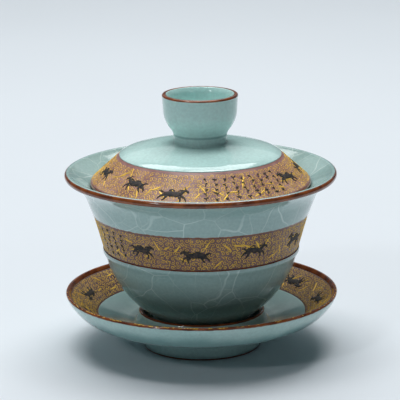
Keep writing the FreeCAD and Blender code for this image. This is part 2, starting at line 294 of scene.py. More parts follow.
# adds one shader node; inputs that are sockets are linked and the rest are set
def put(tree, kind, inputs, **settings):
    node = tree.nodes.new("ShaderNode" + kind)
    for key, value in settings.items():
        setattr(node, key, value)
    for key, value in inputs.items():
        if isinstance(value, bpy.types.NodeSocket):
            tree.links.new(value, node.inputs[key])
        else:
            node.inputs[key].default_value = value
    return node


def place(tree):
    return put(tree, "TexCoord", {}).outputs["Object"]


# soft noise with so many waves to the metre
def noise(tree, where, scale, detail=2.0, roughness=0.5):
    return put(tree, "TexNoise", {"Vector": where, "Scale": scale, "Detail": detail,
                                  "Roughness": roughness}).outputs["Fac"]


def attribute(tree, name):
    return put(tree, "Attribute", {}, attribute_name=name).outputs["Fac"]


def arithmetic(tree, operation, first, second):
    return put(tree, "Math", {0: first, 1: second}, operation=operation).outputs[0]


def times(tree, first, second):
    return arithmetic(tree, "MULTIPLY", first, second)


# value from one range to another, held at the ends
def span(tree, value, low, high, toLow=0.0, toHigh=1.0, kind="LINEAR"):
    limits = {"From Min": low, "From Max": high, "To Min": toLow, "To Max": toHigh}
    return put(tree, "MapRange", {"Value": value, **limits}, interpolation_type=kind).outputs["Result"]


def mixColour(tree, share, first, second, blend="MIX"):
    return put(tree, "Mix", {0: share, 6: first, 7: second}, data_type="RGBA", blend_type=blend).outputs[2]


def bump(tree, height, distance, strength):
    return put(tree, "Bump", {"Height": height, "Distance": distance, "Strength": strength}).outputs[0]


# a colour made paler or deeper by one factor
def tinted(colour, factor):
    return [factor * part for part in colour[:3]] + [1]


# finishes in two tones. Noises are (waves to the metre, detail, roughness): the cloud chooses
# between the tones, between the two levels in split, the gloss noise runs the roughness
# from one value to the other, and the skin noise (or the gloss noise again) is the relief,
# of a depth and strength
finishes = {
    "ironGlaze": {
        "shader": {"IOR": 1.52, "Coat Weight": 0.3, "Coat Roughness": 0.05},
        "tones": ((0.13, 0.030, 0.010), (0.30, 0.078, 0.018)),
        "cloud": (240.0, 3.0, 0.5), "split": (0.35, 0.65),
        "gloss": (180.0, 2.0, 0.5), "rough": (0.3, 0.7, 0.10, 0.22),
        "skin": (500.0, 1.0, 0.5), "relief": (0.04 * mm, 0.4),
    },
    "bandGround": {      # matte browns, redder at the band's edges
        "shader": {"IOR": 1.45},
        "tones": ((0.18, 0.088, 0.085), (0.32, 0.185, 0.165)),
        "cloud": (150.0, 4.0, 0.6), "split": (0.35, 0.68),
        "gloss": (2400.0, 2.0, 0.5), "rough": (0.3, 0.7, 0.28, 0.42),
        "relief": (0.03 * mm, 0.4), "edge": (0.20, 0.085, 0.070),
    },
    "goldEnamel": {
        "shader": {"Metallic": 0.35, "IOR": 1.5},
        "tones": ((0.80, 0.48, 0.065), (1.0, 0.66, 0.085)),
        "cloud": (330.0, 3.0, 0.6), "split": (0.36, 0.64),
        "gloss": (3000.0, 1.0, 0.5), "rough": (0.3, 0.7, 0.38, 0.55),
        "relief": (0.02 * mm, 0.4),
    },
    "brushInk": {        # blue-black where it is thick, brown where the brush ran dry
        "shader": {"IOR": 1.45},
        "tones": ((0.010, 0.011, 0.015), (0.085, 0.060, 0.045)),
        "cloud": (850.0, 3.0, 0.7), "split": (0.44, 0.66),
        "gloss": (850.0, 3.0, 0.7), "rough": (0.44, 0.66, 0.62, 0.78),
        "skin": (1800.0, 2.0, 0.5), "relief": (0.02 * mm, 0.5),
    },
    "bareClay": {
        "shader": {"IOR": 1.45},
        "tones": ((0.14, 0.045, 0.024), (0.38, 0.14, 0.075)),
        "cloud": (1300.0, 4.0, 0.7), "split": (0.35, 0.7),
        "gloss": (1300.0, 4.0, 0.7), "rough": (0.3, 0.7, 0.55, 0.85),
        "relief": (0.08 * mm, 0.6),
    },
}
# band grounds in lit and shaded copies of one brown: the lid's paler as a painted sheen, the saucer's and
# bowl's deeper as painted shade
groundPaintedLight = {"saucer": 0.7, "bowl": 0.82, "lid": 1.55}


# the tone factor scales the tones: above 1 it paints light, below 1 it paints shade
def cloudedTone(tree, where, look, paintedLight=1.0):
    cloud = span(tree, noise(tree, where, *look["cloud"]), *look["split"])
    return mixColour(tree, cloud, *(tinted(tone, paintedLight) for tone in look["tones"]))


def twoToned(name, look, paintedLight=1.0):
    material, tree, shader = newMaterial(name, look["shader"])
    where = place(tree)
    colour = cloudedTone(tree, where, look, paintedLight)
    if "edge" in look:
        colour = mixColour(tree, attribute(tree, "iron"), colour, tinted(look["edge"], paintedLight))
    gloss = noise(tree, where, *look["gloss"])
    skin = noise(tree, where, *look["skin"]) if "skin" in look else gloss
    dress(tree, shader, {"Base Color": colour, "Roughness": span(tree, gloss, *look["rough"]),
                         "Normal": bump(tree, skin, *look["relief"])})
    return material


glaze = {
    # the deep teal is used for thick glaze in creases and for painted shade under the dish
    "thick": (0.36, 0.56, 0.54), "thin": (0.46, 0.64, 0.61), "poolAndShade": (0.16, 0.31, 0.30, 1),
    "crack": (0.66, 0.80, 0.76, 1), "crackShare": 0.6, "calmShare": 0.18,
    # the bowl's glaze is made deeper as painted shade on its sides, and the lid's paler as painted light on
    # the dome; the saucer's is the base tone
    "bowlPaintedShade": 0.8, "saucerPaler": 1.0, "lidPaintedLight": 1.2,
    "crackCells": 70.0,      # wide cells to the metre
    "fineCells": 125.0,      # the smaller cells between them
    "crackWidth": 0.018,     # share of a cell
    "crackBend": (0.011, 0.007),    # how far the wide and the fine lines wander, in metres
    "poolAndShadeShare": 0.75,
    "raggedness": 0.14,      # how unevenly the brown ends
    "roughness": (0.080, 0.135),
    "relief": (0.05 * mm, 0.5),
    # waves to the metre: cloudy thickness, grain, where fine cracks are, how faint the lines
    # run, the brown's ragged end, gloss, skin, and the rings that the thrower's fingers left
    "cloud": 26.0, "grain": 900.0, "finePatches": 45.0, "faintness": 70.0,
    "ragged": 520.0, "gloss": 60.0, "skin": 420.0, "rings": 62.0,
}


# crackle lines: edges of Voronoi cells whose space is first bent by noise, so that the
# lines curve; returns 1 on a line
def crackle(tree, where, cells, width, bend):
    drift = put(tree, "TexNoise", {"Vector": where, "Scale": cells * 0.55, "Detail": 2.0}).outputs["Color"]
    centred = put(tree, "VectorMath", {0: drift, 1: (0.5, 0.5, 0.5)}, operation="SUBTRACT").outputs[0]
    pushed = put(tree, "VectorMath", {0: centred, "Scale": bend}, operation="SCALE").outputs[0]
    bent = put(tree, "VectorMath", {0: where, 1: pushed}, operation="ADD").outputs[0]
    edge = put(tree, "TexVoronoi", {"Vector": bent, "Scale": cells, "Randomness": 1.0},
               feature="DISTANCE_TO_EDGE").outputs["Distance"]
    return span(tree, edge, width * 0.25, width, 1.0, 0.0, "SMOOTHSTEP")


# crackled celadon: cloudy blue-green, darker teal at the pool spots (thicker glaze in creases, and painted
# shade under the dish and in the creases), iron-brown where it runs thin
def celadonGlaze(name, crackShare, paintedLight):
    material, tree, shader = newMaterial(name, {
        "IOR": 1.52, "Specular IOR Level": 0.5, "Coat Weight": 0.25, "Coat Roughness": 0.04})
    where = place(tree)

    def clouds(key, detail, *limits):
        return span(tree, noise(tree, where, glaze[key], detail), *limits)

    colour = mixColour(tree, clouds("cloud", 3.0, 0.32, 0.68, 0.0, 1.0),
                       tinted(glaze["thick"], paintedLight), tinted(glaze["thin"], paintedLight))
    grain = clouds("grain", 1.0, 0.3, 0.7, 0.94, 1.05)
    grey = put(tree, "CombineColor", {0: grain, 1: grain, 2: grain}).outputs[0]
    colour = mixColour(tree, 1.0, colour, grey, "MULTIPLY")
    wide = crackle(tree, where, glaze["crackCells"], glaze["crackWidth"], glaze["crackBend"][0])
    fine = crackle(tree, where, glaze["fineCells"], glaze["crackWidth"] * 1.5, glaze["crackBend"][1])
    patches = clouds("finePatches", 1.0, 0.42, 0.6, 0.0, 0.5)
    lines = arithmetic(tree, "MAXIMUM", wide, times(tree, fine, patches))
    seen = times(tree, times(tree, lines, clouds("faintness", 1.0, 0.35, 0.65, 0.35, 1.0)), crackShare)
    colour = mixColour(tree, seen, colour, glaze["crack"])
    # painted shade: darker teal at the pool spots, partly thicker glaze in creases, partly shade under the
    # dish and in the creases
    poolAndShade = times(tree, attribute(tree, "poolAndShadeMask"), glaze["poolAndShadeShare"])
    colour = mixColour(tree, poolAndShade, colour, glaze["poolAndShade"])
    uneven = clouds("ragged", 2.0, 0.3, 0.7, -glaze["raggedness"], glaze["raggedness"])
    ragged = arithmetic(tree, "ADD", attribute(tree, "iron"), uneven)
    ironShare = span(tree, ragged, 0.30, 0.72, kind="SMOOTHSTEP")
    colour = mixColour(tree, ironShare, colour, cloudedTone(tree, where, finishes["ironGlaze"]))
    rings = put(tree, "TexWave", {"Vector": where, "Scale": glaze["rings"], "Distortion": 2.2, "Detail": 1.0,
                                  "Detail Scale": 0.6}, wave_type="BANDS", bands_direction="Z").outputs["Fac"]
    skin = times(tree, noise(tree, where, glaze["skin"], 1.0), 0.25)
    relief = arithmetic(tree, "ADD", times(tree, rings, 0.35), skin)
    relief = arithmetic(tree, "SUBTRACT", relief, times(tree, lines, 0.35))
    dress(tree, shader, {"Base Color": colour, "Normal": bump(tree, relief, *glaze["relief"]),
                         "Roughness": clouds("gloss", 2.0, 0.3, 0.7, *glaze["roughness"])})
    return material


# the same celadon in lit and shaded copies: the bowl's deeper as painted shade, the lid's paler as painted
# light
celadon = celadonGlaze("celadonGlaze", glaze["crackShare"], glaze["bowlPaintedShade"])
calmCeladon = celadonGlaze("calmCeladonGlaze", glaze["calmShare"], glaze["saucerPaler"])
litCeladon = celadonGlaze("litCeladonGlaze", glaze["calmShare"], glaze["lidPaintedLight"])
grounds = {body: twoToned(body + "BandGround", finishes["bandGround"], paintedLight)
           for body, paintedLight in groundPaintedLight.items()}
iron, gold, ink, clay = (twoToned(name, finishes[name])
                         for name in ("ironGlaze", "goldEnamel", "brushInk", "bareClay"))
print("materials made")


# the circles that a node's vertices lie on, as rows of radius and height
def cornersOf(node):
    co = pointsOf(node)
    rings = np.stack([np.hypot(co[:, 0], co[:, 1]), co[:, 2]], -1)
    return np.unique(np.round(rings, 5), axis=0)


# the two corner circles of a band's visible face: the circles are sorted along the band
# (0 by radius, 1 by height), and of the two at each end the one further out is taken
def faceOf(node, along, outward):
    rings = cornersOf(node)
    rings = rings[np.argsort(rings[:, along], kind="stable")]
    return tuple(pair[np.argmax(pair[:, outward])] for pair in (rings[:2], rings[-2:]))


def topOf(node):
    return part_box(node)[1].z


def bottomOf(node):
    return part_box(node)[0].z


def widthOf(node):
    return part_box(node)[1].x


# the round end of a wall: an arc of radius roll that touches the node's highest and widest
# circles, from one angle to another (0 points outwards, 90 up, 180 to the axis)
def rollLine(node, roll, fromAngle, toAngle, steps=24):
    turn = np.radians(np.linspace(fromAngle, toAngle, steps))
    radius, height = widthOf(node) - roll, topOf(node) - roll
    return np.stack([radius + roll * np.cos(turn), height + roll * np.sin(turn)], -1)


# the middle of a round end, where its glaze is closed inside the wall
def heartOf(node, roll):
    return rollLine(node, roll, 0, 180, 2).mean(axis=0)


# the underside of a turned foot: from the middle of its recess across the bare edge and up
# the flank to where the wall starts
def footLine(node, edgeNode, look, flank, wallStart):
    recess = crossing(node, 2 * mm, "radius", min)
    recessEdge = crossing(node, recess - 0.1 * mm, pick=min)
    edge = topOf(edgeNode)
    edgeInner = crossing(edgeNode, edge - hair, pick=min)
    return roundedLine([
        (0, recess, 0), (recessEdge, recess, look["recessRound"]), (edgeInner, edge, 0),
        (widthOf(edgeNode), edge, 0), (flank, look["footTop"], look["footRound"]), (*wallStart, 0)])


def record(piece, body, slot, *nodes):
    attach(piece, body)
    if nodes:
        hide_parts(*nodes)


saucer = {
    "footTop": 5.0 * mm,        # where the foot's flank runs out into the dish
    "footRound": 2.2 * mm,
    "recessRound": 1.5 * mm,
    "wellRoll": 0.34 * mm,      # rounding of the glaze where the well ends at the band
    "wellStand": 0.22 * mm,     # how far that glaze stands over the band
    "wellRound": 5.0 * mm,
    "ringFlare": 1.3 * mm,      # how far the seat ring runs out onto the floor
    "ringShoulder": 1.0 * mm,   # how far its round top reaches down
    "ringRoll": 0.55 * mm,      # and across, to each side of the crest
    "ringBuried": 0.4 * mm,     # how deep it is set in the floor
    "lipRoll": 0.72 * mm,
    "lipUnder": 40,             # degrees of the lip's round end under the brown
    "brownArc": (8, 128),       # degrees of it that are brown
    # how far a tone reaches from its line, and over how far it fades
    "brownFade": (0.02 * mm, 0.4 * mm), "wellBrown": (0.08 * mm, 0.35 * mm),
    # the pool spots darken the glaze to deep teal: painted shade under the dish, on the floor by the seat
    # ring and at the ring's foot, with some thicker glaze
    "crestBrown": (0.34 * mm, 0.28 * mm), "underPoolAndShade": (7.5 * mm, 6.0 * mm),
    "floorPoolAndShade": (0.3 * mm, 2.0 * mm), "ringPoolAndShade": (0.6 * mm, 1.2 * mm),
}


def saucerDish():
    footTop = crossing("saucer_dish", saucer["footTop"])
    rimUnder = bottomOf("saucer_lip")
    rimRadius = crossing("saucer_dish", rimUnder - hair)
    radii = np.linspace(footTop + 1.5 * mm, rimRadius - 0.6 * mm, 9)
    brownFrom = saucer["brownArc"][0]
    lowEnd = rollLine("saucer_lip", saucer["lipRoll"], brownFrom - saucer["lipUnder"], brownFrom, 8)
    under = smoothLine(heightsAt("saucer_dish", radii, min) + [(rimRadius, rimUnder), *lowEnd], 54)
    foot = footLine("saucer_dish", "saucer_foot_edge", saucer, footTop, under[0])
    inner, outer = faceOf("saucer_band", 0, 1)
    floor = crossing("saucer_dish", 2 * mm, "radius")
    ringFoot = widthOf("saucer_seat_ring")
    wellTop = inner[1] + saucer["wellStand"]
    well = roundedLine([
        (lowEnd[-1][0] - 0.5 * mm, lowEnd[-1][1], 0), (outer[0] - 0.1 * mm, outer[1] - 0.6 * mm, 0),
        (inner[0], bottomOf("saucer_band"), 0), (inner[0], wellTop, saucer["wellRoll"]),
        (ringFoot, floor, saucer["wellRound"]), (0, floor, 0)])
    # painted shade under the dish and on the floor beside the seat ring, as darker pooled glaze
    poolAndShade = [(*under[len(under) // 2], *saucer["underPoolAndShade"]),
              (ringFoot + 1 * mm, floor, *saucer["floorPoolAndShade"])]
    browned = [(*lowEnd[-1], *saucer["brownFade"]), (inner[0], wellTop, *saucer["wellBrown"])]
    return turned("saucerDishGlazed", joinLines(foot, under, well), calmCeladon, browned, poolAndShade, seed=3)


# the brown lip: its round end, then down a short slope to under the band's outer edge
def saucerLip():
    outer = faceOf("saucer_band", 0, 1)[1]
    arc = rollLine("saucer_lip", saucer["lipRoll"], *saucer["brownArc"], 22)
    slope = roundedLine([
        (*arc[-1], 0), (outer[0] + 0.05 * mm, outer[1] + 0.22 * mm, 0.25 * mm),
        (outer[0] - 0.03 * mm, outer[1] - 0.5 * mm, 0)], 7, 0.3 * mm)
    return turned("saucerLipRoll", joinLines(arc, slope, [(arc[0][0] - 0.5 * mm, arc[0][1])]), iron, seed=5)


def seatRing():
    low, top, wide = bottomOf("saucer_seat_ring"), topOf("saucer_seat_ring"), widthOf("saucer_seat_ring")
    shoulder = top - saucer["ringShoulder"]
    flank = radiiAt("saucer_seat_ring", np.linspace(low + 0.9 * mm, shoulder, 4))
    insideFoot = crossing("saucer_seat_ring", low + 0.05 * mm, pick=min)
    insideTop = crossing("saucer_seat_ring", shoulder, pick=min)
    crest, roll = 0.5 * (flank[-1][0] + insideTop), saucer["ringRoll"]
    flare = smoothLine([
        (wide + saucer["ringFlare"], low + hair), (wide + 0.2 * mm, low + 0.3 * mm), *flank,
        (crest + roll, top - 0.14 * mm), (crest, top), (crest - roll, top - 0.17 * mm),
        (insideTop, shoulder), (insideFoot, low + 0.2 * mm)], 52)
    buried = low - saucer["ringBuried"]
    outline = joinLines(flare, [(insideFoot, buried), (wide + 0.5 * mm, buried)])
    browned = [(crest, top, *saucer["crestBrown"]), (crest + 0.6 * mm, top - 0.2 * mm, *saucer["crestBrown"])]
    # painted shade at the seat ring's foot, as darker pooled glaze
    poolAndShade = [(wide + 0.4 * mm, low, *saucer["ringPoolAndShade"])]
    return turned("seatRingGlazed", outline, calmCeladon, browned, poolAndShade, seed=7)


rubbed = {"lowCorners": 0.28 * mm, "highCorners": 0.05 * mm}


# a bare foot edge: the node's own section with its corners rubbed round
def footEdge(name, node):
    rings = cornersOf(node)
    rings = rings[np.argsort(rings[:, 1], kind="stable")]
    low, high = rings[:2], rings[-2:]
    low = [(*low[pick(low[:, 0])], rubbed["lowCorners"]) for pick in (np.argmin, np.argmax)]
    high = [(*high[pick(high[:, 0])], rubbed["highCorners"]) for pick in (np.argmax, np.argmin)]
    return turned(name, closedLine(low + high, 5, 0.5 * mm), clay, seed=9)


bandEdge = {"round": 0.05 * mm, "redder": (0.12 * mm, 0.5 * mm)}


# a patterned band: its face lies between the two face corners, sunk a little below the
# glaze on both sides, and its back is buried in the wall by depth
def bandRing(body, face, depth, sink):
    cone = coneOf(*face)
    inward = np.array([-cone["along"][1], cone["along"][0]])
    start, end = face[0] + inward * sink, face[1] + inward * sink
    outline = closedLine([
        (*start, bandEdge["round"]), (*end, bandEdge["round"]),
        (*(end + inward * depth), 0), (*(start + inward * depth), 0)], 3, 0.35 * mm)
    edges = [(*start, *bandEdge["redder"]), (*end, *bandEdge["redder"])]
    return turned(body + "BandGround", outline, grounds[body], edges, seed=11)


record(saucerDish(), "saucer", "celadon_glaze", "saucer_dish")
record(saucerLip(), "saucer", "brown_rim_glaze", "saucer_lip")
record(seatRing(), "saucer", "celadon_glaze", "saucer_seat_ring")
record(footEdge("saucerFootBare", "saucer_foot_edge"), "saucer", "bare_foot", "saucer_foot_edge")
print("saucer turned")

bowl = {
    "footTop": 12.9 * mm,       # where the foot's flank meets the belly
    "footRound": 0.8 * mm,
    "recessRound": 1.2 * mm,
    "bandRoll": 0.32 * mm,      # rounding of the glaze where it ends at the band
    "bandBed": 0.55 * mm,       # how deep the glaze is cut for the band
    "bulge": 0.16 * mm,         # thicker glaze just under the band
    "flareHeight": 59.6 * mm,   # where the wall starts to flare
    "lipRoll": 1.3 * mm,
    "rollFrom": -104,           # degrees where the flare's underside runs into the round end
    "rollTo": 135,              # and where that runs out into the flare's inside
    "brownArc": (-30, 54),
    "brownFade": (0.02 * mm, 0.45 * mm), "bandBrown": (0.1 * mm, 0.35 * mm), "footPoolAndShade": (0.3 * mm, 1.6 * mm),
    # the inside is followed over these radii on the shoulder, these heights in the throat
    # and down the wall, and these radii on the floor
    "insideShoulder": (49.1 * mm, 44.6 * mm), "insideThroat": (64.6 * mm, 61.0 * mm),
    "insideWall": (57.0 * mm, 20.5 * mm), "insideFloor": (13.0 * mm, 8.0 * mm, 4.0 * mm),
}


def bowlWall():
    lower, upper = faceOf("bowl_band", 1, 0)
    glazeLower = crossing("bowl_wall", lower[1] - hair)
    glazeUpper = crossing("bowl_wall", upper[1] + hair)
    heights = np.linspace(bowl["footTop"] + 0.5 * mm, lower[1] - 3.0 * mm, 9)
    swell = [(glazeLower + bowl["bulge"] * 0.9, lower[1] - 1.1 * mm),
             (glazeLower + bowl["bulge"] * 0.6, lower[1] - 0.3 * mm)]
    belly = smoothLine(radiiAt("bowl_wall", heights) + swell, 78)
    footTop = crossing("bowl_wall", bowl["footTop"] - 0.3 * mm)
    foot = footLine("bowl_wall", "bowl_foot_edge", bowl, footTop, belly[0])
    groove = roundedLine([
        (*belly[-1], 0), (glazeLower + bowl["bulge"] * 0.3, lower[1] + hair, bowl["bandRoll"]),
        (lower[0] - bowl["bandBed"], lower[1] + hair, 0), (upper[0] - bowl["bandBed"], upper[1] - hair, 0),
        (glazeUpper + hair, upper[1] - hair, bowl["bandRoll"]),
        (glazeUpper + 0.30 * mm, upper[1] + 1.0 * mm, 0)])
    lowerBrown, upperBrown = rollLine("bowl_lip", bowl["lipRoll"], *bowl["brownArc"], 2)
    underRoll = rollLine("bowl_lip", bowl["lipRoll"], bowl["rollFrom"], bowl["brownArc"][0], 12)
    flareHeights = list(np.linspace(upper[1] + 2.0 * mm, bowl["flareHeight"], 4))
    flareHeights += list(np.linspace(bowl["flareHeight"] + 1.2 * mm, underRoll[0][1] - 0.5 * mm, 6))
    flare = smoothLine([groove[-1], *radiiAt("bowl_wall", flareHeights), underRoll[0]], 56)
    top = rollLine("bowl_lip", bowl["lipRoll"], bowl["brownArc"][1], bowl["rollTo"], 16)
    inside = joinLines(underRoll, [heartOf("bowl_lip", bowl["lipRoll"])], top, insideWall())
    browned = [(*lowerBrown, *bowl["brownFade"]), (*upperBrown, *bowl["brownFade"]),
               (glazeLower, lower[1], *bowl["bandBrown"]), (glazeUpper, upper[1], *bowl["bandBrown"])]
    # painted shade where the foot meets the belly, as darker pooled glaze
    poolAndShade = [(footTop, bowl["footTop"], *bowl["footPoolAndShade"])]
    outline = joinLines(foot, belly, groove, flare, inside)
    return turned("bowlWallGlazed", outline, celadon, browned, poolAndShade, seed=13)


# the inside of the bowl from the lip down the shoulder and the throat to the middle
def insideWall():
    shoulder = heightsAt("bowl_wall", np.linspace(*bowl["insideShoulder"], 5))
    throat = radiiAt("bowl_wall", np.linspace(*bowl["insideThroat"], 5), min)
    down = radiiAt("bowl_wall", np.linspace(*bowl["insideWall"], 10), min)
    floor = heightsAt("bowl_wall", bowl["insideFloor"])
    middle = crossing("bowl_wall", 0.5 * mm, "radius")
    return joinLines(smoothLine(shoulder + throat + down + floor + [(0.5 * mm, middle)], 120), [(0, middle)])


# the brown of the lip: an arc of its round end, closed inside the wall
def bowlLip():
    arc = rollLine("bowl_lip", bowl["lipRoll"], *bowl["brownArc"], 34)
    return turned("bowlLipRoll", joinLines(arc, [heartOf("bowl_lip", bowl["lipRoll"])]), iron, seed=15)


record(bowlWall(), "bowl", "celadon_glaze", "bowl_wall")
record(bowlLip(), "bowl", "brown_rim_glaze", "bowl_lip")
record(footEdge("bowlFootBare", "bowl_foot_edge"), "bowl", "bare_foot", "bowl_foot_edge")
print("bowl turned")

lid = {
    "skirtRoll": 0.36 * mm,     # rounding of the dome's glaze where it ends at the band
    "skirtStand": 0.10 * mm,    # how far that glaze stands over the band
    "knobFoot": 11.0 * mm,      # radius where the dome flattens under the knob
    "insideDome": (10.6 * mm, 28.6 * mm),   # radii over which its inside is followed
    "insideSkirt": 30.6 * mm,   # and from where on the skirt
    "knobFlare": 0.9 * mm,      # how far the knob's foot runs out onto the dome
    # the knob's side is followed at these heights over its foot
    "knobHeights": np.array([0.7, 1.5, 2.4, 3.1, 3.7, 4.5, 5.5, 6.8, 8.4, 10.4, 12.6, 15.0]) * mm,
    "hollowDepths": np.array([1.0, 3.0, 5.4, 7.2, 8.8]) * mm,    # below the lip, down its side
    "hollowRadii": np.array([8.4, 6.5, 4.0, 1.6]) * mm,          # across its floor
    "lipRoll": 0.75 * mm,
    "rollFrom": -30,            # degrees where the knob's side runs into the round end
    "brownArc": (14, 100),
    "brownTop": 13.35 * mm,     # radius where the brown on the lip's top ends
    "hollowTop": 12.75 * mm,    # radius where the lip turns down into the hollow
    "brownFade": (0.02 * mm, 0.4 * mm), "bandBrown": (0.12 * mm, 0.3 * mm), "waistPoolAndShade": (0.1 * mm, 0.7 * mm),
}


# the band's lower and inner corner circles on its bed
def lidBed():
    rings = cornersOf("lid_band")
    return rings[np.argmin(rings[:, 1])], rings[np.argmin(rings[:, 0])]


def lidDome():
    upper = faceOf("lid_band", 1, 0)[1]
    shoulderRadii = np.linspace(upper[0] - 0.9 * mm, upper[0] - 3.4 * mm, 6)
    domeRadii = np.linspace(upper[0] - 5.0 * mm, lid["knobFoot"], 6)
    dome = smoothLine(heightsAt("lid_dome", [*shoulderRadii, *domeRadii]), 70)
    insideTop = crossing("lid_dome", 2 * mm, "radius", min)
    edgeInner = crossing("lid_dome", bottomOf("lid_dome") + hair, pick=min)
    skirtRadii = np.linspace(lid["insideSkirt"], edgeInner - 0.2 * mm, 4)
    inside = smoothLine(heightsAt("lid_dome", [*np.linspace(*lid["insideDome"], 6), *skirtRadii], min), 70)
    bedLower, bedUpper = lidBed()
    skirt = roundedLine([
        (*inside[-1], 0), (*bedLower, 0), (*bedUpper, 0),
        (upper[0] + hair, upper[1] + lid["skirtStand"], lid["skirtRoll"]), (*dome[0], 0)], 9)
    outline = joinLines([(0, insideTop)], inside, skirt, dome, [(0, dome[-1][1])])
    browned = [(upper[0], upper[1] - 0.30 * mm, *lid["bandBrown"])]
    return turned("lidDomeGlazed", outline, litCeladon, browned, seed=17)


# the lid's bare edge: under the band, in and down to where it bears, and round its outside
def lidEdge():
    bedLower = lidBed()[0]
    bottom, top, wide = bottomOf("lid_lip"), topOf("lid_lip"), widthOf("lid_lip")
    inner = crossing("lid_lip", bottom + 0.6 * mm, pick=min)
    outline = closedLine([
        (crossing("lid_lip", bedLower[1] - 0.45 * mm, pick=min), bedLower[1] - 0.4 * mm, 0.1 * mm),
        (inner + 0.4 * mm, bottom, 0.5 * mm), (wide - 0.6 * mm, bottom, 0.9 * mm),
        (wide, bottom + 1.0 * mm, 0.7 * mm), (wide - 0.45 * mm, top - 0.05 * mm, 0.25 * mm),
        (*bedLower, 0.1 * mm)], 9, 0.3 * mm)
    return turned("lidEdgeBare", outline, iron, seed=19)


def lidKnob():
    low, lipLow, top = bottomOf("lid_knob"), topOf("lid_knob"), topOf("knob_lip")
    side = radiiAt("lid_knob", lid["knobHeights"] + low)
    flare = lid["knobFlare"]
    foot = [(side[0][0] + flare, low - 0.22 * mm), (side[0][0] + 0.28 * flare, low + 0.12 * mm)]
    wallTop = crossing("lid_knob", lipLow - 0.05 * mm)
    underRoll = rollLine("knob_lip", lid["lipRoll"], lid["rollFrom"], lid["brownArc"][0], 8)
    outside = joinLines(smoothLine(foot + side + [(wallTop, lipLow), underRoll[0]], 96), underRoll)
    halfway = 0.5 * (lid["brownTop"] + lid["hollowTop"])
    innerEnd = smoothLine([(lid["brownTop"], top - 0.05 * mm), (halfway, top - 0.16 * mm),
                           (lid["hollowTop"], top - 0.48 * mm)], 10)
    hollowTop = crossing("lid_knob", lipLow - 0.05 * mm, pick=min)
    inside = radiiAt("lid_knob", lipLow - lid["hollowDepths"], min)
    across = heightsAt("lid_knob", lid["hollowRadii"])
    hollow = smoothLine([innerEnd[-1], (hollowTop + 0.1 * mm, lipLow), *inside, *across], 70)
    floor = crossing("lid_knob", 0.5 * mm, "radius")
    heart = heartOf("knob_lip", lid["lipRoll"])
    outline = joinLines([(0, low - 0.3 * mm)], outside, [heart], innerEnd, hollow[1:], [(0, floor)])
    browned = [(*underRoll[-1], *lid["brownFade"]), (*innerEnd[0], *lid["brownFade"])]
    # painted shade in the crease at the knob's waist, as darker pooled glaze
    poolAndShade = [(side[3][0], side[3][1] + 0.3 * mm, *lid["waistPoolAndShade"])]
    return turned("lidKnobGlazed", outline, litCeladon, browned, poolAndShade, seed=21)


def knobLip():
    arc = rollLine("knob_lip", lid["lipRoll"], *lid["brownArc"], 24)
    end = (lid["brownTop"] - 0.1 * mm, topOf("knob_lip") - 0.04 * mm)
    return turned("knobLipRoll", joinLines(arc, [end], [heartOf("knob_lip", lid["lipRoll"])]), iron, seed=23)


record(lidDome(), "lid", "celadon_glaze", "lid_dome")
record(lidEdge(), "lid", "bare_foot", "lid_lip")
record(lidKnob(), "lid", "celadon_glaze", "lid_knob")
record(knobLip(), "lid", "brown_rim_glaze", "knob_lip")
print("lid turned")

pattern = {
    "curlCell": 1.95 * mm,      # from one curl to the next
    "curlRadius": 0.90 * mm,
    "curlTurns": 1.3,
    "curlWidth": 0.31 * mm,
    "goldLift": 0.07 * mm,
    "inkLift": 0.13 * mm,
    "sunk": 0.03 * mm,          # how far every stroke's base is buried
    "margin": 0.35 * mm,        # bare ground along a band's edges
    "blades": 62,               # round each band
    "animalSize": 1.0,
    "stray": 0.10,              # how far a brush stroke goes astray, in millimetres
}


# draws strokes on a cone: each stroke has a place (angle, v), a centre line of points
# (x, y) in metres from it, half-widths and a lift. The cross-section loop (across, up) is
# carried along the line, across scaled by the half-width and up by the lift, and the
# points go onto the cone at angle + x / radius and v + y
def strokes(name, cone, places, lines, halfWidths, lift, section, material):
    flow = np.gradient(lines, axis=1)
    flow /= np.maximum(np.linalg.norm(flow, axis=2, keepdims=True), 1e-9)
    side = np.stack([-flow[..., 1], flow[..., 0]], -1)
    loop = np.array(section)
    reach = halfWidths[..., None] * loop[:, 0]
    flat = lines[:, :, None, :] + side[:, :, None, :] * reach[..., None]
    up = np.where(loop[:, 1] > 0, loop[:, 1] * lift, -pattern["sunk"])
    edge = min(pattern["margin"], 0.1 * cone["length"])
    v = np.clip(places[:, 1, None, None] + flat[..., 1], edge, cone["length"] - edge)
    radius = cone["start"][0] + places[:, 1] * cone["along"][0]
    angle = places[:, 0, None, None] + flat[..., 0] / radius[:, None, None]
    points = onCone(cone, angle, v, np.broadcast_to(up, v.shape))
    count, length, sides = v.shape
    first = (np.arange(count)[:, None, None] * length + np.arange(length - 1)[None, :, None]) * sides
    here = np.arange(sides)[None, None, :]
    then = (here + 1) % sides
    quads = np.stack([first + here, first + then, first + sides + then, first + sides + here], -1)
    begin = np.arange(count)[:, None] * length * sides
    starts = begin + np.arange(sides)[None, ::-1]
    ends = begin + (length - 1) * sides + np.arange(sides)[None, :]
    faces = quads.reshape(-1, 4).tolist() + starts.tolist() + ends.tolist()
    return meshObject(name, points, faces, material)


ridge = [(-1, 0), (1, 0), (0, 1)]
brushed = [(-1, 0), (1, 0), (0.72, 0.9), (0, 1), (-0.72, 0.9)]


